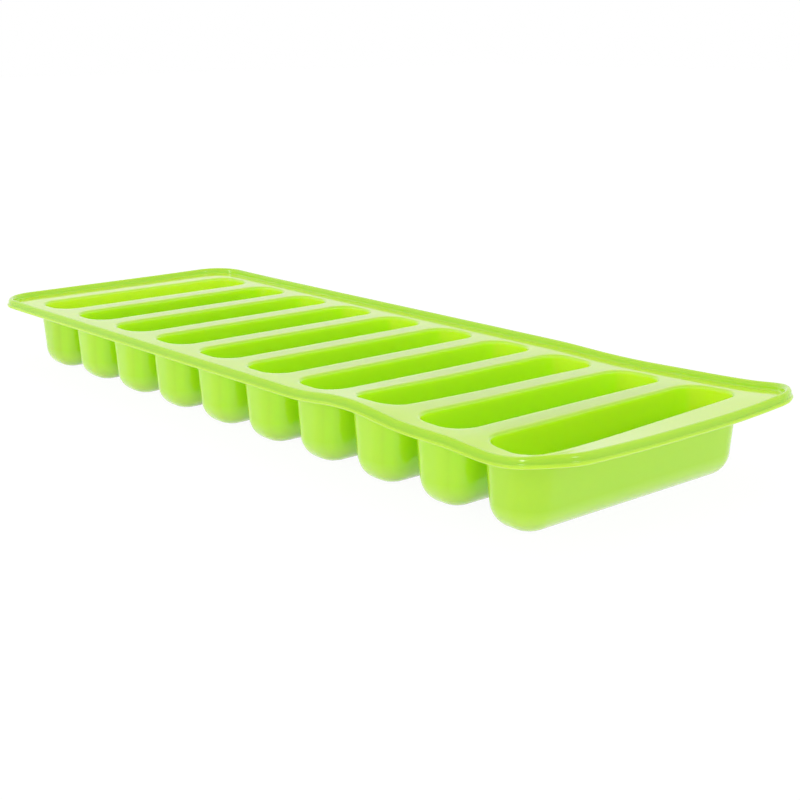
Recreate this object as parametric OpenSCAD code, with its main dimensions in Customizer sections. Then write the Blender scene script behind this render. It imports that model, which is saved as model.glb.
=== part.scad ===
// Finger cake mould: one soft silicone tray with a row of long, separate cavities.
// The cavities hang under a thin flange, and a raised bead runs round the flange's edge.
// Millimetres, +Z up. It stands on its cavities' flat bottoms, with the near long edge towards -Y.

/* [Cavities] */
// Number of cavities, side by side
cavity_count = 10; // [2:1:12]
// Spacing of the cavities, centre to centre
pitch = 26.5; // [25:0.5:34]
// Width of a cavity's mouth, at the top of its lip
mouth_w = 20.4; // [16:0.1:21]
// Length of a cavity's mouth, at the top of its lip
mouth_len = 85.5; // [50:0.5:120]
// Plan radius of the mouth's corners
mouth_r = 7.8; // [4:0.1:8]
// Depth from the top of the flange to a cavity's floor
cavity_depth = 21.6; // [14:0.1:32]
// Lean of the long walls, in degrees from upright
side_draft = 4.5; // [1:0.5:7]
// Lean of the end walls, in degrees from upright
end_draft = 2; // [1:0.5:7]
// Radius between the walls and the floor, inside
floor_r = 5.8; // [2:0.1:6.4]
// Radius of the lip, from the flange into a cavity
lip_r = 1; // [0.5:0.1:1.4]
// Thickness of the cavity walls and floors
wall = 1.5; // [1:0.1:2]

/* [Flange] */
// Thickness of the flange
flange_t = 1.1; // [0.8:0.1:2]
// From the end cavities' mouths to the outside of the rim
end_margin = 15.2; // [8:0.1:25]
// From the mouths' short ends to the outside of the rim
side_margin = 9.2; // [6:0.1:20]
// Radius under the flange, where the cavity walls leave it
root_r = 0.8; // [0.3:0.1:1.2]

/* [Rim] */
// Plan radius of the rim's outer corners
corner_r = 14; // [6:0.5:20]
// Width of the bead
rim_w = 2.2; // [1.8:0.1:3.2]
// Height of the bead over the flange
rim_h = 1.9; // [1:0.1:3]
// Radius at the foot of the bead, on the flange
foot_r = 0.5; // [0.2:0.1:0.8]
// How far the flange's round edge stands out past the bead
ledge = 0.4; // [0.2:0.1:0.8]
// How far the rim hangs below the level of the flange
rim_drop = 0.3; // [0:0.1:1]

/* [Waves of the soft edge] */
// Height of the wave in the near long edge
near_rise = 1.8; // [0:0.1:4]
// Place of that wave along the edge, from the middle
near_x = 68; // [-80:1:80]
// Length of that wave
near_len = 52; // [40:1:120]
// Depth of the sag in the far long edge
far_sag = 0.6; // [0:0.1:2]
// Place of that sag along the edge, from the middle
far_x = 79; // [-80:1:90]
// Length of that sag
far_len = 63; // [40:1:120]
// Lift of the far right corner
far_lift = 2.4; // [0:0.1:4]
// Lift of the near right corner
near_lift = 1.4; // [0:0.1:4]
// Lift of the far left corner
left_lift = 0.3; // [0:0.1:4]
// How far from a corner its lift begins
lift_reach = 46; // [20:1:60]
// Lift of the right end's edge, all along
end_lift = 1.1; // [0:0.1:2]
// Depth of the dip in the flange over the last cavity
dip = 1.5; // [0:0.1:2]
// From the right end's edge to the middle of the dip
dip_in = 21; // [10:1:30]
// Length of the dip along the tray
dip_len = 37; // [25:1:60]
// Place of the dip across the tray, from the middle
dip_y = -32; // [-50:1:50]
// Length of the dip across the tray
dip_span = 115; // [80:1:200]

/* [Hidden] */
mould_colour = [0.62, 0.88, 0.2];

// Steps in each rounding, enough to look round from a step away
turn_steps = 4;
lip_steps = 3;
bend_steps = 4;
root_steps = 2;
corner_steps = 6;
foot_steps = 2;
bead_steps = 4;
edge_steps = 4;

// Levels of the flange, and of the line about which the inner and outer lower roundings turn
deck_z = cavity_depth + wall;
under_z = deck_z - flange_t;
bend_z = wall + floor_r;

// The flange's outer edge is a half round
edge_r = flange_t / 2;

// Half sizes in plan: the oblong of flange round one cavity, all of them together, and the rim
share = [pitch / 2, mouth_len / 2 + (side_margin - ledge - rim_w - foot_r) / 2];
block = [cavity_count * share.x, share.y];
rim = [(cavity_count - 1) * share.x + mouth_w / 2 + end_margin, mouth_len / 2 + side_margin];

// The rounding under the flange stays within the strip between two cavities
strip = pitch - mouth_w + 2 * (lip_r - wall);
root = min(root_r, strip / 3);

// The smallest plan radius that a cavity's corner comes down to
least_r = 0.4;

// Points that two surfaces share are rounded alike, so that they meet without a gap
grain = 100000;
function snapped(p) = [for (v = p) round(v * grain) / grain];

// Half width, half length and corner radius of a cavity's outline, drawn in from the mouth's
function outline(in_x, in_y, r) =
    let (a = mouth_w / 2 - in_x, b = mouth_len / 2 - in_y)
    [a, b, max(least_r, min(r, a - least_r))];

// How far inside the mouth a leaning wall stands at a height
function inset(z, lean) = lip_r + (deck_z - lip_r - z) * tan(lean);

// The wall's outline at a height, and a thickness outside it
function wall_outline(z, out) =
    outline(inset(z, side_draft) - out, inset(z, end_draft) - out, mouth_r - lip_r + out);

// Outline and level on the lower rounding, for t from 0 at the wall to 1 at the floor
function bend_turn(t) = side_draft + t * (90 - side_draft);
function bend_inset(t, lean, out) =
    inset(bend_z, lean) + floor_r / cos(lean) - (floor_r + out) * cos(bend_turn(t));
function bend_outline(t, out) =
    outline(
        bend_inset(t, side_draft, out),
        bend_inset(t, end_draft, out),
        mouth_r - lip_r + out - (floor_r + out) * (cos(side_draft) - cos(bend_turn(t)))
    );
function bend_level(t, out) = bend_z - (floor_r + out) * sin(bend_turn(t));

// Signs of the four corners, anticlockwise from the far right one
function signs(q) = [q == 0 || q == 3 ? 1 : -1, q < 2 ? 1 : -1];

// Ring of points on an outline, with two stops on each long side
function ring(o, z) =
    let (c = [o[0] - o[2], o[1] - o[2]])
    [for (q = [0 : 3], p = concat(
        [for (j = [0 : turn_steps])
            let (t = 90 * (q + j / turn_steps))
            [signs(q).x * c.x + o[2] * cos(t), signs(q).y * c.y + o[2] * sin(t)]],
        long_stops(q, o[0], c.y)
    )) [p.x, p.y, z]];
function long_stops(q, x, y) =
    q % 2 == 0 ? [] : [for (s = [1, -1]) [signs(q).x * x, s * signs(q).y * y / 2]];

// The same points spread out to the oblong of flange round the cavity
mouth = outline(0, 0, mouth_r);
mouth_c = [mouth[0] - mouth[2], mouth[1] - mouth[2]];
half_turn = turn_steps / 2;
function spread_x(k) =
    let (t = 90 * k / turn_steps) mouth_c.x + (share.x - mouth_c.x) * cos(t) / sin(t);
function spread_y(k) =
    let (t = 90 * k / turn_steps) mouth_c.y + (share.y - mouth_c.y) * tan(t);
function share_ring(z) =
    [for (q = [0 : 3], p = concat(
        [for (j = [0 : turn_steps])
            let (k = q % 2 == 0 ? j : turn_steps - j)
            k < half_turn
                ? [signs(q).x * share.x, signs(q).y * spread_y(k)]
                : [signs(q).x * spread_x(k), signs(q).y * share.y]],
        long_stops(q, share.x, mouth_c.y)
    )) [p.x, p.y, z]];

// Inside of a cavity: flange, lip, leaning walls, lower rounding and floor
inner_rings = concat(
    [share_ring(deck_z), ring(mouth, deck_z)],
    [for (i = [1 : lip_steps])
        let (t = 90 * i / lip_steps, d = lip_r * sin(t))
        ring(outline(d, d, mouth_r - d), deck_z - lip_r * (1 - cos(t)))],
    [for (i = [0 : bend_steps])
        let (t = i / bend_steps)
        ring(bend_outline(t, 0), bend_level(t, 0))]
);

// Outside of the same cavity, from under the flange down to its flat bottom
outer_rings = concat(
    [share_ring(under_z)],
    [for (i = [0 : root_steps])
        let (t = 90 * i / root_steps)
        ring(wall_outline(under_z - root, wall + root * (1 - sin(t))), under_z - root * (1 - cos(t)))],
    [for (i = [0 : bend_steps])
        let (t = i / bend_steps)
        ring(bend_outline(t, wall), bend_level(t, wall))]
);

// Stops along the sides of the flange, the same that the oblongs have there
function mirrored(half) = concat([for (i = [len(half) - 1 : -1 : 0]) -half[i]], half);
stops_y = mirrored(concat([mouth_c.y / 2], [for (k = [0 : half_turn]) spread_y(k)]));
share_stops = mirrored([for (k = [turn_steps : -1 : half_turn]) spread_x(k)]);
stops_x = concat(
    [for (i = [0 : cavity_count - 1], j = [0 : len(share_stops) - 2]) cavity_x(i) + share_stops[j]],
    [block.x]
);
function cavity_x(i) = (i - (cavity_count - 1) / 2) * pitch;

// Ring round the whole flange, with square corners where r is 0
function rim_ring(half, r, z) =
    let (c = [half.x - r, half.y - r])
    [for (q = [0 : 3], p = concat(
        rim_side(q, half, [c.x / block.x, c.y / block.y]),
        [for (j = [1 : corner_steps - 1])
            let (t = 90 * (q + j / corner_steps))
            [signs(q).x * c.x + r * cos(t), signs(q).y * c.y + r * sin(t)]]
    )) [p.x, p.y, z]];
function rim_side(q, half, fit) =
    let (stops = q % 2 == 0 ? stops_y : stops_x, last = len(stops) - 1)
    [for (i = [0 : last])
        let (v = stops[q == 0 || q == 3 ? i : last - i])
        q % 2 == 0 ? [cos(90 * q) * half.x, v * fit.y] : [v * fit.x, sin(90 * q) * half.y]];

// Section of the rim, as distance in from its outside and level:
// the bead's foot on the flange, its round crest down to the ledge, and the flange's round edge
bead_section = concat(
    [for (i = [0 : foot_steps])
        let (t = 90 * i / foot_steps)
        [ledge + rim_w + foot_r * (1 - sin(t)), deck_z + foot_r * (1 - cos(t))]],
    [for (i = [1 : bead_steps])
        let (t = 180 * i / bead_steps, base = t < 90 ? foot_r : 0)
        [ledge + rim_w / 2 * (1 + cos(t)), deck_z + base + (rim_h - base) * sin(t)]],
    [for (i = [1 : edge_steps])
        let (t = 180 * i / edge_steps)
        [edge_r * (1 - sin(t)), deck_z - edge_r * (1 - cos(t))]]
);
rim_rings = concat(
    [rim_ring(block, 0, deck_z)],
    [for (s = bead_section) rim_ring([rim.x - s[0], rim.y - s[0]], corner_r - s[0], s[1])],
    [rim_ring(block, 0, under_z)]
);

// The soft edge's waves. The long edges' waves are strongest at the rim and gone at the middle,
// each lift grows towards its corner or end, the flange slopes down to the rim's foot,
// and all of it fades down the cavities
edge_power = 1.5;
end_reach = 20;
drop_reach = 8;
function hump(d, length) = abs(d) < length / 2 ? (1 + cos(360 * d / length)) / 2 : 0;
function growth(away, reach) = pow(max(0, 1 - away / reach), 2);
function corner_growth(dx, dy) = growth(norm([dx, dy]), lift_reach);
function inward(x, y) =
    let (q = [abs(x) - rim.x + corner_r, abs(y) - rim.y + corner_r])
    corner_r - norm([max(q.x, 0), max(q.y, 0)]) - min(max(q.x, q.y), 0);
function drop(x, y) =
    rim_drop * growth(max(0, inward(x, y) - ledge - rim_w - foot_r), drop_reach);
function side_wave(x, y) =
    y < 0 ? near_rise * hump(x - near_x, near_len) : -far_sag * hump(x - far_x, far_len);
function wave(x, y) =
    side_wave(x, y) * pow(abs(y) / rim.y, edge_power)
    + far_lift * corner_growth(rim.x - x, rim.y - y)
    + near_lift * corner_growth(rim.x - x, rim.y + y)
    + left_lift * corner_growth(rim.x + x, rim.y - y)
    + end_lift * growth(rim.x - x, end_reach)
    - dip * hump(rim.x - dip_in - x, dip_len) * hump(y - dip_y, dip_span)
    - drop(x, y);
function draped(p) = [p.x, p.y, p.z + wave(p.x, p.y) * max(0, p.z - wall) / (deck_z - wall)];

// One skin from all the rings, listed in this order: rim, insides, outsides
ring_n = len(inner_rings[0]);
rim_n = len(rim_rings[0]);
inside_at = len(rim_rings) * rim_n;
outside_at = inside_at + cavity_count * len(inner_rings) * ring_n;
skin = [for (p = concat(
    [for (r = rim_rings, p = r) p],
    [for (i = [0 : cavity_count - 1], r = inner_rings, p = r) p + [cavity_x(i), 0, 0]],
    [for (i = [0 : cavity_count - 1], r = outer_rings, p = r) p + [cavity_x(i), 0, 0]]
)) draped(snapped(p))];

// Triangles between rings that follow each other in the list. Those with no area are left out
function band(at, rings, n) = [
    for (k = [0 : rings - 2], j = [0 : n - 1])
        let (a = at + k * n + j, b = at + k * n + (j + 1) % n)
        for (f = [[a, b, a + n], [b, b + n, a + n]])
            if (skin[f[0]] != skin[f[1]] && skin[f[1]] != skin[f[2]] && skin[f[2]] != skin[f[0]]) f
];

// Triangles across the flat inside a cavity's last ring, between stops that face each other
function facing(i) = (2 * turn_steps + 1 - i + ring_n) % ring_n;
function flat(at) = [
    for (i = [turn_steps + 1 : ring_n / 2 + turn_steps - 1])
        let (a = at + i, b = at + facing(i))
        for (f = [[a, a + 1, b], [a + 1, at + facing(i + 1), b]]) f
];

// Faces of all the cavities' insides or outsides, from their place in the skin
function cups(at, rings) = [
    for (i = [0 : cavity_count - 1])
        let (first = at + i * rings * ring_n, last = first + (rings - 1) * ring_n)
        for (f = concat(band(first, rings, ring_n), flat(last))) f
];

module mould() {
    outside = concat(band(0, len(rim_rings), rim_n), cups(outside_at, len(outer_rings)));
    inside = [for (f = cups(inside_at, len(inner_rings))) [f[0], f[2], f[1]]];
    color(mould_colour)
        polyhedron(skin, concat(outside, inside), convexity = 10);
}

mould();
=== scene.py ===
import math

import bmesh
import bpy
from mathutils import Matrix, Vector


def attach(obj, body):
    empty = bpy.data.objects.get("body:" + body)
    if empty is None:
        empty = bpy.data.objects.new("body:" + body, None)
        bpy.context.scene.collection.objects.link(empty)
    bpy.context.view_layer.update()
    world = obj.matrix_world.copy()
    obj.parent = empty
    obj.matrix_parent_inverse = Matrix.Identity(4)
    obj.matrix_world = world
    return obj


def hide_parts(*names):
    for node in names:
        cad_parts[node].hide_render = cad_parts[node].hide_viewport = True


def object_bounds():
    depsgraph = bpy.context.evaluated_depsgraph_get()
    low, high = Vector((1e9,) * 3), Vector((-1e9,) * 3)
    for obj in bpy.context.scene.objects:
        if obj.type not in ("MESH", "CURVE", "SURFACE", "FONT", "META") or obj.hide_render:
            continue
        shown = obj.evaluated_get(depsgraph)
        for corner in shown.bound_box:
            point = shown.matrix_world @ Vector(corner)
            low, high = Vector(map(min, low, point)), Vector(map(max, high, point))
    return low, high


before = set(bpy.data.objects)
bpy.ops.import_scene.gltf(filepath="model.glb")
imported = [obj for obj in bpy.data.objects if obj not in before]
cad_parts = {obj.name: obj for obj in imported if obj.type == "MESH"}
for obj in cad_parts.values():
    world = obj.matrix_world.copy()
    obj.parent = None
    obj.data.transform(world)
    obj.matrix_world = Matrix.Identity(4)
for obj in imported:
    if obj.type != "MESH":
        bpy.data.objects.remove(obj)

print("frame loaded")
mm = 0.001
cadBox = [list(corner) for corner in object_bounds()]

# The tray, in metres and degrees. Its outside comes from the CAD box
tray = {
    "cavities": 10,
    "pitch": 26.5 * mm,
    "mouthWidth": 20.4 * mm,
    "mouthLength": 85.5 * mm,
    "mouthRadius": 7.8 * mm,
    "depth": 21.6 * mm,
    "sideDraft": math.radians(4.5),
    "endDraft": math.radians(2),
    "floorRadius": 5.8 * mm,
    "lipRadius": 1 * mm,
    "wall": 1.5 * mm,
    "flange": 1.1 * mm,
    "rootRadius": 0.8 * mm,
    "cornerRadius": 14 * mm,
    "beadWidth": 2.2 * mm,
    "beadHeight": 1.9 * mm,
    "footRadius": 0.5 * mm,
    "ledge": 0.4 * mm,
}

# Waves of the soft edge: places are from the middle, and the dip's distance in from the right end
waves = {
    "Near Rise": 1.8 * mm,
    "Near Place": 68 * mm,
    "Near Length": 52 * mm,
    "Far Sag": 0.6 * mm,
    "Far Place": 79 * mm,
    "Far Length": 63 * mm,
    "Edge Power": 1.5,
    "Far Lift": 2.4 * mm,
    "Near Lift": 1.4 * mm,
    "Left Lift": 0.3 * mm,
    "Lift Reach": 46 * mm,
    "End Lift": 1.1 * mm,
    "End Reach": 20 * mm,
    "Dip": 1.5 * mm,
    "Dip In": 21 * mm,
    "Dip Length": 37 * mm,
    "Dip Place": -32 * mm,
    "Dip Span": 115 * mm,
    "Rim Drop": 0.3 * mm,
    "Drop Reach": 8 * mm,
    "Unevenness": 0.12 * mm,
    "Uneven Scale": 22.0,
}

# How many steps each rounding, wall and flat part is cut into
steps = {
    "turn": 12,
    "lip": 6,
    "wall": 3,
    "bend": 12,
    "root": 5,
    "corner": 20,
    "foot": 5,
    "bead": 16,
    "edge": 8,
    "flat": 3,
}
sideStops = (0.92, 0.8, 0.6, 0.3, 0, -0.3, -0.6, -0.8, -0.92)   # points along a mouth's straight side
leastRadius = 0.4 * mm  # of a corner, seen from above
seamGap = 0.0005 * mm   # points nearer than this are joined within a pattern
weldGap = 0.002 * mm    # and between the cavities and the rim

# Thickness marks that the colour follows, from 0 at a thin edge to 1 in the bead, and how late the mark
# falls round the edge. Below the wall's mark the colour takes painted light, a pale line along the
# flange's lower edge; above it, painted shade, darkest on the bead and partway on the lips and the rim's
# foot
marked = {"wall": 0.5, "lip": 0.75, "foot": 0.75, "edge": 0.85, "bead": 1.0}
edgeFall = 3

deckLevel = tray["depth"] + tray["wall"]
underLevel = deckLevel - tray["flange"]
bendLevel = tray["wall"] + tray["floorRadius"]
rimHalf = Vector((cadBox[1][0], cadBox[1][1]))
beadFoot = tray["ledge"] + tray["beadWidth"] + tray["footRadius"]
shareHalf = Vector((tray["pitch"] / 2, (tray["mouthLength"] / 2 + rimHalf.y - beadFoot) / 2))
blockHalf = Vector((tray["cavities"] * shareHalf.x, shareHalf.y))
quarters = ((1, 1), (-1, 1), (-1, -1), (1, -1))   # corners, anticlockwise from the far right one


def outline(inX, inY, radius):
    # half width, half length and corner radius, drawn in from the mouth
    return tray["mouthWidth"] / 2 - inX, tray["mouthLength"] / 2 - inY, max(radius, leastRadius)


def inset(level, lean):
    return tray["lipRadius"] + (deckLevel - tray["lipRadius"] - level) * math.tan(lean)


def wallOutline(level, out):
    radius = tray["mouthRadius"] - tray["lipRadius"] + out
    return outline(inset(level, tray["sideDraft"]) - out, inset(level, tray["endDraft"]) - out, radius)


def bendRing(t, out):
    # lower rounding, about a line that the inside and the outside share
    turn = tray["sideDraft"] + t * (math.pi / 2 - tray["sideDraft"])
    reach = tray["floorRadius"] + out
    ins = [
        inset(bendLevel, lean) + tray["floorRadius"] / math.cos(lean) - reach * math.cos(turn)
        for lean in (tray["sideDraft"], tray["endDraft"])
    ]
    radius = tray["mouthRadius"] - tray["lipRadius"] + out
    radius -= reach * (math.cos(tray["sideDraft"]) - math.cos(turn))
    return ring(outline(*ins, radius), bendLevel - reach * math.sin(turn))


def ring(shape, z):
    a, b, r = shape
    cx, cy = a - r, b - r
    points = []
    for q, (sx, sy) in enumerate(quarters):
        for j in range(steps["turn"] + 1):
            t = math.pi / 2 * (q + j / steps["turn"])
            points.append(Vector((sx * cx + r * math.cos(t), sy * cy + r * math.sin(t), z)))
        if q % 2:
            points += [Vector((sx * a, sy * s * cy, z)) for s in sideStops]
    return points


def spreadX(cx, k):
    t = math.pi / 2 * k / steps["turn"]
    return cx + (shareHalf.x - cx) * math.cos(t) / math.sin(t)


def spreadY(cy, k):
    return cy + (shareHalf.y - cy) * math.tan(math.pi / 2 * k / steps["turn"])


def shareRing(z):
    # the mouth's points spread out to the oblong of flange that each cavity has
    a, b, r = outline(0, 0, tray["mouthRadius"])
    cx, cy = a - r, b - r
    half = steps["turn"] // 2
    points = []
    for q, (sx, sy) in enumerate(quarters):
        for j in range(steps["turn"] + 1):
            k = steps["turn"] - j if q % 2 else j
            if k < half:
                points.append(Vector((sx * shareHalf.x, sy * spreadY(cy, k), z)))
            else:
                points.append(Vector((sx * spreadX(cx, k), sy * shareHalf.y, z)))
        if q % 2:
            points += [Vector((sx * shareHalf.x, sy * s * cy, z)) for s in sideStops]
    return points


def between(first, last, count):
    # even rings from one to the other, without the last
    return [[p.lerp(q, i / count) for p, q in zip(first, last)] for i in range(count)]


def rimRing(half, r, z):
    # ring round the whole flange at the oblongs' own stops, square where r is 0
    a, b, mouthR = outline(0, 0, tray["mouthRadius"])
    turns = range(steps["turn"] // 2 + 1)
    stopsY = sorted({s * spreadY(b - mouthR, k) for k in turns for s in (1, -1)})
    stopsY = sorted(stopsY + [s * (b - mouthR) for s in sideStops])
    turns = range(steps["turn"] // 2, steps["turn"] + 1)
    cross = sorted({s * spreadX(a - mouthR, k) for k in turns for s in (1, -1)})
    middles = [(i - (tray["cavities"] - 1) / 2) * tray["pitch"] for i in range(tray["cavities"])]
    stopsX = [m + x for m in middles for x in cross[:-1]] + [blockHalf.x]
    cx, cy = half[0] - r, half[1] - r
    fitX, fitY = cx / blockHalf.x, cy / blockHalf.y
    sides = (
        [(half[0], y * fitY) for y in stopsY],
        [(x * fitX, half[1]) for x in reversed(stopsX)],
        [(-half[0], y * fitY) for y in reversed(stopsY)],
        [(x * fitX, -half[1]) for x in stopsX],
    )
    points = []
    for q, (sx, sy) in enumerate(quarters):
        points += [Vector((x, y, z)) for x, y in sides[q]]
        for j in range(1, steps["corner"]):
            t = math.pi / 2 * (q + j / steps["corner"])
            points.append(Vector((sx * cx + r * math.cos(t), sy * cy + r * math.sin(t), z)))
    return points


markNames = ("inside", "depth")


def addRings(mesh, rings, marks, upward, closed):
    # a skin over rings that follow each other, and each ring's marks for the material:
    # how far inside a cavity it is, from 0 to 1, and its thickness mark, which places painted light and
    # shade
    inside, depth = (mesh.verts.layers.float[name] for name in markNames)
    rows = []
    for points, (howInside, howDeep) in zip(rings, marks):
        row = [mesh.verts.new(p) for p in points]
        for vert in row:
            vert[inside], vert[depth] = howInside, howDeep
        rows.append(row)
    count = len(rows[0])
    faces = []
    for upper, lower in zip(rows, rows[1:]):
        for j in range(count):
            k = (j + 1) % count
            faces.append((upper[j], upper[k], lower[k], lower[j]))
    if closed:
        last = rows[-1]
        facing = 2 * steps["turn"] + 1
        for i in range(steps["turn"] + 1, count // 2 + steps["turn"]):
            across = last[(facing - i - 1) % count], last[(facing - i) % count]
            faces.append((last[i], last[i + 1], *across))
    for face in faces:
        mesh.faces.new(face if upward else tuple(reversed(face)))


def meshFrom(name, patches):
    mesh = bmesh.new()
    for mark in markNames:
        mesh.verts.layers.float.new(mark)
    for patch in patches:
        addRings(mesh, *patch)
    bmesh.ops.remove_doubles(mesh, verts=mesh.verts, dist=seamGap)
    data = bpy.data.meshes.new(name)
    mesh.to_mesh(data)
    mesh.free()
    made = bpy.data.objects.new(name, data)
    bpy.context.collection.objects.link(made)
    return made


def cavityPattern():
    # one cavity with its share of the flange, both sides of the wall
    lip, wall, root = tray["lipRadius"], tray["wall"], tray["rootRadius"]
    mouth = ring(outline(0, 0, tray["mouthRadius"]), deckLevel)
    inner = between(shareRing(deckLevel), mouth, steps["flat"]) + [mouth]
    for i in range(1, steps["lip"] + 1):
        t = math.pi / 2 * i / steps["lip"]
        d = lip * math.sin(t)
        inner.append(ring(outline(d, d, tray["mouthRadius"] - d), deckLevel - lip * (1 - math.cos(t))))
    inner = inner[:-1] + between(inner[-1], bendRing(0, 0), steps["wall"])
    inner += [bendRing(i / steps["bend"], 0) for i in range(steps["bend"] + 1)]
    roots = []
    for i in range(steps["root"] + 1):
        t = math.pi / 2 * i / steps["root"]
        shape = wallOutline(underLevel - root, wall + root * (1 - math.sin(t)))
        roots.append(ring(shape, underLevel - root * (1 - math.cos(t))))
    outer = between(shareRing(underLevel), roots[0], steps["flat"]) + roots[:-1]
    outer += between(roots[-1], bendRing(0, wall), steps["wall"])
    outer += [bendRing(i / steps["bend"], wall) for i in range(steps["bend"] + 1)]
    innerMarks = []
    for i in range(len(inner)):
        past = min(max(i - steps["flat"], 0) / steps["lip"], 1)
        thick = marked["wall"] + (marked["lip"] - marked["wall"]) * math.sin(math.pi * past)
        innerMarks.append((past, thick))
    outerMarks = [(0, marked["wall"])] * len(outer)
    return meshFrom("cavityPattern", [(inner, innerMarks, True, True), (outer, outerMarks, False, True)])


def rimBand():
    # margin of the flange and the rim round it, from the bead's foot over its crest to the round edge:
    # each step of the section has its distance in from the edge, its level and its thickness mark for the
    # painted light and shade
    foot, edge, width = tray["footRadius"], tray["flange"] / 2, tray["beadWidth"]
    section = []
    for i in range(steps["foot"] + 1):
        t = math.pi / 2 * i / steps["foot"]
        reach = tray["ledge"] + width + foot * (1 - math.sin(t))
        thick = marked["wall"] + (marked["foot"] - marked["wall"]) * i / steps["foot"]
        section.append((reach, deckLevel + foot * (1 - math.cos(t)), thick))
    for i in range(1, steps["bead"] + 1):
        t = math.pi * i / steps["bead"]
        base = foot if 2 * i < steps["bead"] else 0
        rise = base + (tray["beadHeight"] - base) * math.sin(t)
        reach = tray["ledge"] + width / 2 * (1 + math.cos(t))
        section.append((reach, deckLevel + rise, min(marked["foot"] + i / steps["bead"], marked["bead"])))
    for i in range(1, steps["edge"] + 1):
        t = math.pi * i / steps["edge"]
        thick = marked["edge"] * (1 - (i / steps["edge"]) ** edgeFall)
        section.append((edge * (1 - math.sin(t)), deckLevel - edge * (1 - math.cos(t)), thick))
    radius = tray["cornerRadius"]
    rings = [rimRing((rimHalf.x - d, rimHalf.y - d), radius - d, z) for d, z, thick in section]
    top = between(rimRing(blockHalf, 0, deckLevel), rings[0], steps["flat"])
    under = between(rings[-1], rimRing(blockHalf, 0, underLevel), steps["flat"])
    rings = top + rings + under[1:] + [rimRing(blockHalf, 0, underLevel)]
    marks = [(0, marked["wall"])] * len(top)
    marks += [(0, thick) for d, z, thick in section]
    marks += [(0, marked["wall"])] * len(under)
    return meshFrom("rimBand", [(rings, marks, False, False)])


def addMath(tree, operation, *values):
    node = tree.nodes.new("ShaderNodeMath")
    node.operation = operation
    for socket, value in zip(node.inputs, values):
        if isinstance(value, (int, float)):
            socket.default_value = value
        else:
            tree.links.new(value, socket)
    return node.outputs[0]


def hump(tree, place, middle, length):
    # one smooth rise and fall of a given length, 1 at its middle
    t = addMath(tree, "DIVIDE", addMath(tree, "SUBTRACT", place, middle), length)
    swing = addMath(tree, "COSINE", addMath(tree, "MULTIPLY", t, math.tau))
    isWithin = addMath(tree, "LESS_THAN", addMath(tree, "ABSOLUTE", t), 0.5)
    return addMath(tree, "MULTIPLY", addMath(tree, "MULTIPLY_ADD", swing, 0.5, 0.5), isWithin)


def growth(tree, gapX, gapY, reach):
    # 0 at the reach and past it, growing to 1 where both gaps are 0
    squares = [addMath(tree, "POWER", addMath(tree, "ABSOLUTE", gap), 2) for gap in (gapX, gapY)]
    away = addMath(tree, "DIVIDE", addMath(tree, "SQRT", addMath(tree, "ADD", *squares)), reach)
    left = addMath(tree, "MAXIMUM", addMath(tree, "SUBTRACT", 1, away), 0)
    return addMath(tree, "POWER", left, 2)


def toSide(tree, place, half):
    # distance in from the side that a place is nearer to
    return addMath(tree, "SUBTRACT", half, addMath(tree, "ABSOLUTE", place))


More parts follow.
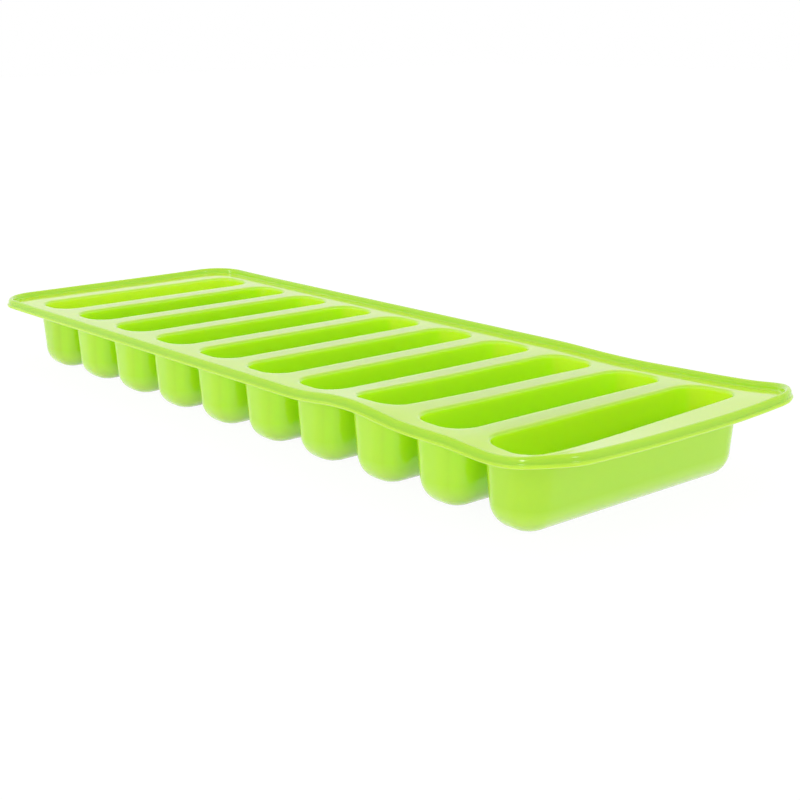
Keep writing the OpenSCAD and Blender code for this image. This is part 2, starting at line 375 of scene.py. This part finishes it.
def trayTree():
    tree = bpy.data.node_groups.new("trayFromCavities", "GeometryNodeTree")
    face = tree.interface
    face.new_socket("Rim", in_out="INPUT", socket_type="NodeSocketGeometry")
    face.new_socket("Cavity", in_out="INPUT", socket_type="NodeSocketObject")
    face.new_socket("Cavities", in_out="INPUT", socket_type="NodeSocketInt")
    levels = ("Floor Level", "Deck Level")
    sizes = ("Rim Half Length", "Rim Half Width", "Corner Radius", "Bead Foot")
    for name in ("Pitch", *levels, *sizes, *waves):
        face.new_socket(name, in_out="INPUT", socket_type="NodeSocketFloat")
    face.new_socket("Material", in_out="INPUT", socket_type="NodeSocketMaterial")
    face.new_socket("Tray", in_out="OUTPUT", socket_type="NodeSocketGeometry")
    new, link = tree.nodes.new, tree.links.new
    given = new("NodeGroupInput").outputs

    # the cavities in a row about the middle, joined to the rim
    line = new("GeometryNodeMeshLine")
    line.mode = "OFFSET"
    offset, start = new("ShaderNodeCombineXYZ"), new("ShaderNodeCombineXYZ")
    link(given["Pitch"], offset.inputs["X"])
    back = addMath(tree, "MULTIPLY", addMath(tree, "SUBTRACT", given["Cavities"], 1), -0.5)
    link(addMath(tree, "MULTIPLY", back, given["Pitch"]), start.inputs["X"])
    link(given["Cavities"], line.inputs["Count"])
    link(start.outputs[0], line.inputs["Start Location"])
    link(offset.outputs[0], line.inputs["Offset"])
    pattern, place = new("GeometryNodeObjectInfo"), new("GeometryNodeInstanceOnPoints")
    link(given["Cavity"], pattern.inputs["Object"])
    link(line.outputs["Mesh"], place.inputs["Points"])
    link(pattern.outputs["Geometry"], place.inputs["Instance"])
    real, join = new("GeometryNodeRealizeInstances"), new("GeometryNodeJoinGeometry")
    link(place.outputs[0], real.inputs[0])
    link(given["Rim"], join.inputs[0])
    link(real.outputs[0], join.inputs[0])
    weld = new("GeometryNodeMergeByDistance")
    weld.inputs["Distance"].default_value = weldGap
    link(join.outputs[0], weld.inputs["Geometry"])

    # the long edges' waves: strongest at the rim, gone at the middle
    spot, apart = new("GeometryNodeInputPosition"), new("ShaderNodeSeparateXYZ")
    link(spot.outputs[0], apart.inputs[0])
    x, y, z = apart.outputs
    across = addMath(tree, "DIVIDE", addMath(tree, "ABSOLUTE", y), given["Rim Half Width"])
    edge = addMath(tree, "POWER", across, given["Edge Power"])
    nearHump = hump(tree, x, given["Near Place"], given["Near Length"])
    near = addMath(tree, "MULTIPLY", nearHump, given["Near Rise"])
    farHump = hump(tree, x, given["Far Place"], given["Far Length"])
    far = addMath(tree, "MULTIPLY", farHump, given["Far Sag"])
    isNear = addMath(tree, "LESS_THAN", y, 0)
    nearPart = addMath(tree, "MULTIPLY", near, isNear)
    farPart = addMath(tree, "MULTIPLY", far, addMath(tree, "SUBTRACT", 1, isNear))
    lift = addMath(tree, "MULTIPLY", addMath(tree, "SUBTRACT", nearPart, farPart), edge)

    # the lifted corners and right end, and the dip over the last cavity
    toRight = addMath(tree, "SUBTRACT", given["Rim Half Length"], x)
    toLeft = addMath(tree, "ADD", given["Rim Half Length"], x)
    toFar = addMath(tree, "SUBTRACT", given["Rim Half Width"], y)
    toNear = addMath(tree, "ADD", given["Rim Half Width"], y)
    corners = (("Far Lift", toRight, toFar), ("Near Lift", toRight, toNear), ("Left Lift", toLeft, toFar))
    for name, gapX, gapY in corners:
        raised = growth(tree, gapX, gapY, given["Lift Reach"])
        lift = addMath(tree, "MULTIPLY_ADD", raised, given[name], lift)
    raised = growth(tree, toRight, 0, given["End Reach"])
    lift = addMath(tree, "MULTIPLY_ADD", raised, given["End Lift"], lift)
    dipShape = addMath(
        tree, "MULTIPLY",
        hump(tree, toRight, given["Dip In"], given["Dip Length"]),
        hump(tree, y, given["Dip Place"], given["Dip Span"]),
    )
    lift = addMath(tree, "SUBTRACT", lift, addMath(tree, "MULTIPLY", dipShape, given["Dip"]))

    # the slope down to the rim's foot, by the distance in from the rounded outline
    radius = given["Corner Radius"]
    pastX = addMath(tree, "SUBTRACT", radius, toSide(tree, x, given["Rim Half Length"]))
    pastY = addMath(tree, "SUBTRACT", radius, toSide(tree, y, given["Rim Half Width"]))
    turned = [addMath(tree, "POWER", addMath(tree, "MAXIMUM", past, 0), 2) for past in (pastX, pastY)]
    straight = addMath(tree, "MINIMUM", addMath(tree, "MAXIMUM", pastX, pastY), 0)
    inward = addMath(tree, "SUBTRACT", radius, addMath(tree, "SQRT", addMath(tree, "ADD", *turned)))
    inward = addMath(tree, "SUBTRACT", inward, straight)
    toFoot = addMath(tree, "MAXIMUM", addMath(tree, "SUBTRACT", inward, given["Bead Foot"]), 0)
    drop = addMath(tree, "MULTIPLY", growth(tree, toFoot, 0, given["Drop Reach"]), given["Rim Drop"])
    lift = addMath(tree, "SUBTRACT", lift, drop)

    # a little unevenness, as a soft tray has, from a noise that never changes
    noise = new("ShaderNodeTexNoise")
    noise.inputs["Detail"].default_value = 1
    link(spot.outputs[0], noise.inputs["Vector"])
    link(given["Uneven Scale"], noise.inputs["Scale"])
    wander = addMath(tree, "SUBTRACT", noise.outputs[0], 0.5)
    wander = addMath(tree, "MULTIPLY", wander, given["Unevenness"])
    height = addMath(tree, "SUBTRACT", given["Deck Level"], given["Floor Level"])
    above = addMath(tree, "MAXIMUM", addMath(tree, "SUBTRACT", z, given["Floor Level"]), 0)
    fade = addMath(tree, "DIVIDE", above, height)
    rise, move = new("ShaderNodeCombineXYZ"), new("GeometryNodeSetPosition")
    link(addMath(tree, "MULTIPLY", addMath(tree, "ADD", lift, wander), fade), rise.inputs["Z"])
    link(weld.outputs[0], move.inputs["Geometry"])
    link(rise.outputs[0], move.inputs["Offset"])

    smooth, plain = new("GeometryNodeSetShadeSmooth"), new("GeometryNodeRealizeInstances")
    paint = new("GeometryNodeSetMaterial")
    link(move.outputs[0], smooth.inputs["Geometry"])
    link(smooth.outputs[0], plain.inputs[0])
    link(plain.outputs[0], paint.inputs["Geometry"])
    link(given["Material"], paint.inputs["Material"])
    link(paint.outputs[0], new("NodeGroupOutput").inputs[0])
    return tree


def buildTray(material):
    pattern, rim = cavityPattern(), rimBand()
    tree = trayTree()
    modifier = rim.modifiers.new("tray", "NODES")
    modifier.node_group = tree
    values = {
        "Cavity": pattern,
        "Cavities": tray["cavities"],
        "Pitch": tray["pitch"],
        "Floor Level": tray["wall"],
        "Deck Level": deckLevel,
        "Rim Half Length": rimHalf.x,
        "Rim Half Width": rimHalf.y,
        "Corner Radius": tray["cornerRadius"],
        "Bead Foot": beadFoot,
        "Material": material,
        **waves,
    }
    for item in tree.interface.items_tree:
        if item.in_out == "INPUT" and item.name in values:
            modifier[item.identifier] = values[item.name]
    shaped = rim.evaluated_get(bpy.context.evaluated_depsgraph_get())
    data = bpy.data.meshes.new_from_object(shaped)
    data.name = "mouldSkin"
    rim.modifiers.clear()
    mould = bpy.data.objects.new("mouldSkin", data)
    bpy.context.collection.objects.link(mould)
    for used in (pattern, rim):
        bpy.data.objects.remove(used)
    print("tray:", len(data.vertices), "points,", len(data.polygons), "faces")
    return mould


# Silicone: colours are linear. The bead, and partly the lips and the rim's foot, are darker with painted
# shade;
# the thin edge and the outside near the floor are paler with painted light; the cavities and the gaps
# between them are brighter with painted light, the cavities' ends carry a painted glow, and the
# upward-facing flange and the outsides of the end cavities are darker with painted shade
silicone = {
    "wallColour": (0.495, 0.80, 0.033),
    "platePaintedShade": (0.465, 0.70, 0.045),
    "cavityPaintedLight": (0.52, 0.99, 0.02),
    "endPaintedGlow": (0.58, 0.88, 0.045),
    "gapPaintedLight": (0.54, 0.99, 0.03),
    "outerPaintedShade": (0.455, 0.725, 0.03),
    "lowPaintedLight": (0.66, 0.93, 0.22),
    "lowLightFade": 6 * mm,
    "lowLightShare": 0.7,
    "facingStart": 0.5,
    "facingBlend": 0.25,
    "beadPaintedShade": (0.345, 0.605, 0.01),
    "edgePaintedLight": (0.74, 0.99, 0.52),
    "blotchTint": (0.95, 0.98, 0.9),
    "blotchScale": 30.0,
    "blotchDetail": 3.0,
    "roughness": 0.14,
    "insideRoughness": 0.1,
    "roughnessSpread": 0.08,
    "coat": 0.45,
    "coatRoughness": 0.05,
    "grainScale": 1600.0,
    "grainDetail": 2.0,
    "grainHeight": 0.004 * mm,
    "subsurface": 1.0,
    "subsurfaceRadius": (1.6, 1.3, 0.15),
    "subsurfaceScale": 3.5 * mm,
    "ior": 1.42,
}


def mixColours(tree, share, first, second, blend="MIX"):
    node = tree.nodes.new("ShaderNodeMix")
    node.data_type, node.blend_type = "RGBA", blend
    tree.links.new(share, node.inputs[0])
    for socket, colour in zip((node.inputs[6], node.inputs[7]), (first, second)):
        if isinstance(colour, tuple):
            socket.default_value = (*colour, 1)
        else:
            tree.links.new(colour, socket)
    return node.outputs[2]


def paintedLightShadeMasks(tree, where, inside):
    # masks for painted light and shade, from where on the tray a point is and the way it faces, each from
    # 0 to 1
    place, facing = tree.nodes.new("ShaderNodeSeparateXYZ"), tree.nodes.new("ShaderNodeSeparateXYZ")
    tree.links.new(where, place.inputs[0])
    tree.links.new(tree.nodes.new("ShaderNodeTexCoord").outputs["Normal"], facing.inputs[0])
    x, y, z = facing.outputs

    def limited(value):
        return addMath(tree, "MINIMUM", addMath(tree, "MAXIMUM", value, 0), 1)

    def facingAlong(way):
        past = addMath(tree, "SUBTRACT", addMath(tree, "ABSOLUTE", way), silicone["facingStart"])
        return limited(addMath(tree, "DIVIDE", past, silicone["facingBlend"]))

    onDeck = addMath(tree, "GREATER_THAN", place.outputs["Z"], underLevel)
    along = addMath(tree, "ABSOLUTE", place.outputs["X"])
    within = addMath(tree, "LESS_THAN", along, blockHalf.x - tray["pitch"] / 2)
    outermost = addMath(tree, "GREATER_THAN", along, blockHalf.x - tray["pitch"])
    outside = addMath(tree, "SUBTRACT", 1, addMath(tree, "MAXIMUM", inside, onDeck))
    gapWall = addMath(tree, "MULTIPLY", facingAlong(x), within)
    endWall = addMath(tree, "MULTIPLY", facingAlong(x), addMath(tree, "SUBTRACT", 1, within))
    # painted light: the outside is paler towards the floor
    below = addMath(tree, "SUBTRACT", bendLevel, place.outputs["Z"])
    low = limited(addMath(tree, "DIVIDE", below, silicone["lowLightFade"]))
    low = addMath(tree, "MULTIPLY", low, silicone["lowLightShare"])
    return {
        # painted shade: the outsides of the cavities at both ends are darker
        "outerPaintedShade": addMath(tree, "MULTIPLY", outermost, outside),
        # painted shade: surfaces facing up on the flange and rim are darker
        "platePaintedShade": addMath(tree, "MULTIPLY", facingAlong(z), onDeck),
        # painted light: the walls in the gaps between cavities are brighter
        "gapPaintedLight": addMath(tree, "MULTIPLY", gapWall, outside),
        # painted glow: the cavities' end walls inside are yellower, as if lit through
        "endPaintedGlow": addMath(tree, "MULTIPLY", addMath(tree, "MAXIMUM", facingAlong(y), endWall), inside),
        "lowPaintedLight": addMath(tree, "MULTIPLY", low, outside),
    }


def siliconeMaterial():
    material = bpy.data.materials.new("limeSilicone")
    material.use_nodes = True
    tree = material.node_tree
    new, link = tree.nodes.new, tree.links.new
    shader = tree.nodes["Principled BSDF"]
    where = new("ShaderNodeTexCoord").outputs["Object"]

    # colour by place and by the thickness marks, with painted light and shade
    inside, depth = new("ShaderNodeAttribute"), new("ShaderNodeAttribute")
    inside.attribute_name, depth.attribute_name = "inside", "depth"
    # painted light: the cavities' inside is brighter than the outside walls
    colour = mixColours(tree, inside.outputs["Fac"], silicone["wallColour"], silicone["cavityPaintedLight"])
    for name, mask in paintedLightShadeMasks(tree, where, inside.outputs["Fac"]).items():
        colour = mixColours(tree, mask, colour, silicone[name])
    # painted light: a pale line where the flange's edge turns under
    thin = addMath(tree, "SUBTRACT", 1, addMath(tree, "DIVIDE", depth.outputs["Fac"], marked["wall"]))
    colour = mixColours(tree, addMath(tree, "MAXIMUM", thin, 0), colour, silicone["edgePaintedLight"])
    # painted shade: darker on the bead, and partway on the lips and the rim's foot
    past = addMath(tree, "SUBTRACT", depth.outputs["Fac"], marked["wall"])
    thick = addMath(tree, "DIVIDE", past, marked["bead"] - marked["wall"])
    colour = mixColours(tree, addMath(tree, "MAXIMUM", thick, 0), colour, silicone["beadPaintedShade"])

    # pigment that isn't quite even
    blotch = new("ShaderNodeTexNoise")
    blotch.inputs["Scale"].default_value = silicone["blotchScale"]
    blotch.inputs["Detail"].default_value = silicone["blotchDetail"]
    link(where, blotch.inputs["Vector"])
    colour = mixColours(tree, blotch.outputs[0], colour, silicone["blotchTint"], "MULTIPLY")
    link(colour, shader.inputs["Base Color"])

    # cavities come off a polished core, the outside off a satin tool
    rough = new("ShaderNodeMapRange")
    rough.inputs["To Min"].default_value = silicone["roughness"]
    rough.inputs["To Max"].default_value = silicone["insideRoughness"]
    link(inside.outputs["Fac"], rough.inputs["Value"])
    spread = silicone["roughnessSpread"]
    worn = addMath(tree, "MULTIPLY_ADD", blotch.outputs[0], spread, -spread / 2)
    link(addMath(tree, "ADD", rough.outputs[0], worn), shader.inputs["Roughness"])

    grain = new("ShaderNodeTexNoise")
    grain.inputs["Scale"].default_value = silicone["grainScale"]
    grain.inputs["Detail"].default_value = silicone["grainDetail"]
    link(where, grain.inputs["Vector"])
    bump = new("ShaderNodeBump")
    bump.inputs["Distance"].default_value = silicone["grainHeight"]
    link(grain.outputs[0], bump.inputs["Height"])
    link(bump.outputs[0], shader.inputs["Normal"])

    shader.inputs["IOR"].default_value = silicone["ior"]
    shader.inputs["Coat Weight"].default_value = silicone["coat"]
    shader.inputs["Coat Roughness"].default_value = silicone["coatRoughness"]
    shader.inputs["Subsurface Weight"].default_value = silicone["subsurface"]
    shader.inputs["Subsurface Radius"].default_value = silicone["subsurfaceRadius"]
    shader.inputs["Subsurface Scale"].default_value = silicone["subsurfaceScale"]
    return material


mould = buildTray(siliconeMaterial())
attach(mould, "root")
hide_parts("mould")

# The camera, from a fit of the tray's edges in the 800 by 800 photograph
camera = {
    "place": (355.3 * mm, -278.2 * mm, 123.2 * mm),
    "yaw": -0.8623,
    "pitch": 0.2595,
    "roll": 0.0037,
    "focalPixels": 1412.0,
    "pixels": 800,
    "sensor": 36.0,
    "nearest": 0.01,
    "farthest": 20.0,
}


def addCamera():
    data = bpy.data.cameras.new("camera")
    data.sensor_width = camera["sensor"]
    data.lens = camera["sensor"] * camera["focalPixels"] / camera["pixels"]
    data.clip_start, data.clip_end = camera["nearest"], camera["farthest"]
    yaw, pitch, roll = camera["yaw"], camera["pitch"], camera["roll"]
    ahead = Vector((math.cos(pitch) * math.sin(yaw), math.cos(pitch) * math.cos(yaw), -math.sin(pitch)))
    right = Vector((math.cos(yaw), -math.sin(yaw), 0))
    down = ahead.cross(right)
    rightRolled = math.cos(roll) * right + math.sin(roll) * down
    downRolled = math.cos(roll) * down - math.sin(roll) * right
    turned = Matrix((rightRolled, -downRolled, -ahead)).transposed().to_4x4()
    held = bpy.data.objects.new("camera", data)
    held.matrix_world = Matrix.Translation(camera["place"]) @ turned
    bpy.context.collection.objects.link(held)
    bpy.context.scene.camera = held


# White surroundings and soft lamps
studio = {
    "floorSize": 6.0,
    "floorLevel": -0.02 * mm,
    "floorRoughness": 0.9,
    "floorColour": (0.95, 0.95, 0.95),
    "floorShare": 0.93,
    "floorWhite": 1.025,
    "ambient": 0.97,
    "lamps": {
        "lampLeft": {"place": (-0.44, -1.34, 0.54), "size": 0.36, "watts": 3.2},
        "lampRight": {"place": (1.49, 0.18, 0.64), "size": 0.36, "watts": 2.2},
    },
}


def seenDirectly(tree):
    # 1 for rays from the camera, a reflection or a refraction
    path = tree.nodes.new("ShaderNodeLightPath").outputs
    seen = addMath(tree, "ADD", path["Is Camera Ray"], path["Is Glossy Ray"])
    return addMath(tree, "MINIMUM", addMath(tree, "ADD", seen, path["Is Transmission Ray"]), 1)


def addStudio():
    world = bpy.data.worlds.new("world")
    bpy.context.scene.world = world
    world.use_nodes = True
    tree = world.node_tree
    back = tree.nodes["Background"]
    back.inputs["Color"].default_value = (1, 1, 1, 1)
    strength = addMath(tree, "MULTIPLY_ADD", seenDirectly(tree), 1 - studio["ambient"], studio["ambient"])
    tree.links.new(strength, back.inputs["Strength"])

    material = bpy.data.materials.new("floorWhite")
    material.use_nodes = True
    tree = material.node_tree
    card = tree.nodes["Principled BSDF"]
    card.inputs["Base Color"].default_value = (*studio["floorColour"], 1)
    card.inputs["Roughness"].default_value = studio["floorRoughness"]
    card.inputs["Specular IOR Level"].default_value = 0
    glow, blend = tree.nodes.new("ShaderNodeEmission"), tree.nodes.new("ShaderNodeMixShader")
    link = tree.links.new
    glow.inputs["Strength"].default_value = studio["floorWhite"]
    link(addMath(tree, "MULTIPLY", seenDirectly(tree), studio["floorShare"]), blend.inputs[0])
    link(card.outputs[0], blend.inputs[1])
    link(glow.outputs[0], blend.inputs[2])
    link(blend.outputs[0], tree.nodes["Material Output"].inputs["Surface"])
    half = studio["floorSize"] / 2
    corners = [(x * half, y * half, studio["floorLevel"]) for x, y in ((-1, -1), (1, -1), (1, 1), (-1, 1))]
    data = bpy.data.meshes.new("floor")
    data.from_pydata(corners, [], [(0, 1, 2, 3)])
    floor = bpy.data.objects.new("floor", data)
    data.materials.append(material)
    bpy.context.collection.objects.link(floor)

    for name, made in studio["lamps"].items():
        lamp = bpy.data.lights.new(name, "AREA")
        lamp.shape = "DISK"
        lamp.size = made["size"]
        lamp.energy = made["watts"]
        hung = bpy.data.objects.new(name, lamp)
        hung.location = made["place"]
        hung.rotation_euler = (-Vector(made["place"])).to_track_quat("-Z", "Y").to_euler()
        bpy.context.collection.objects.link(hung)


addCamera()
addStudio()
bpy.context.scene.view_settings.view_transform = "Standard"
print("camera and studio placed")
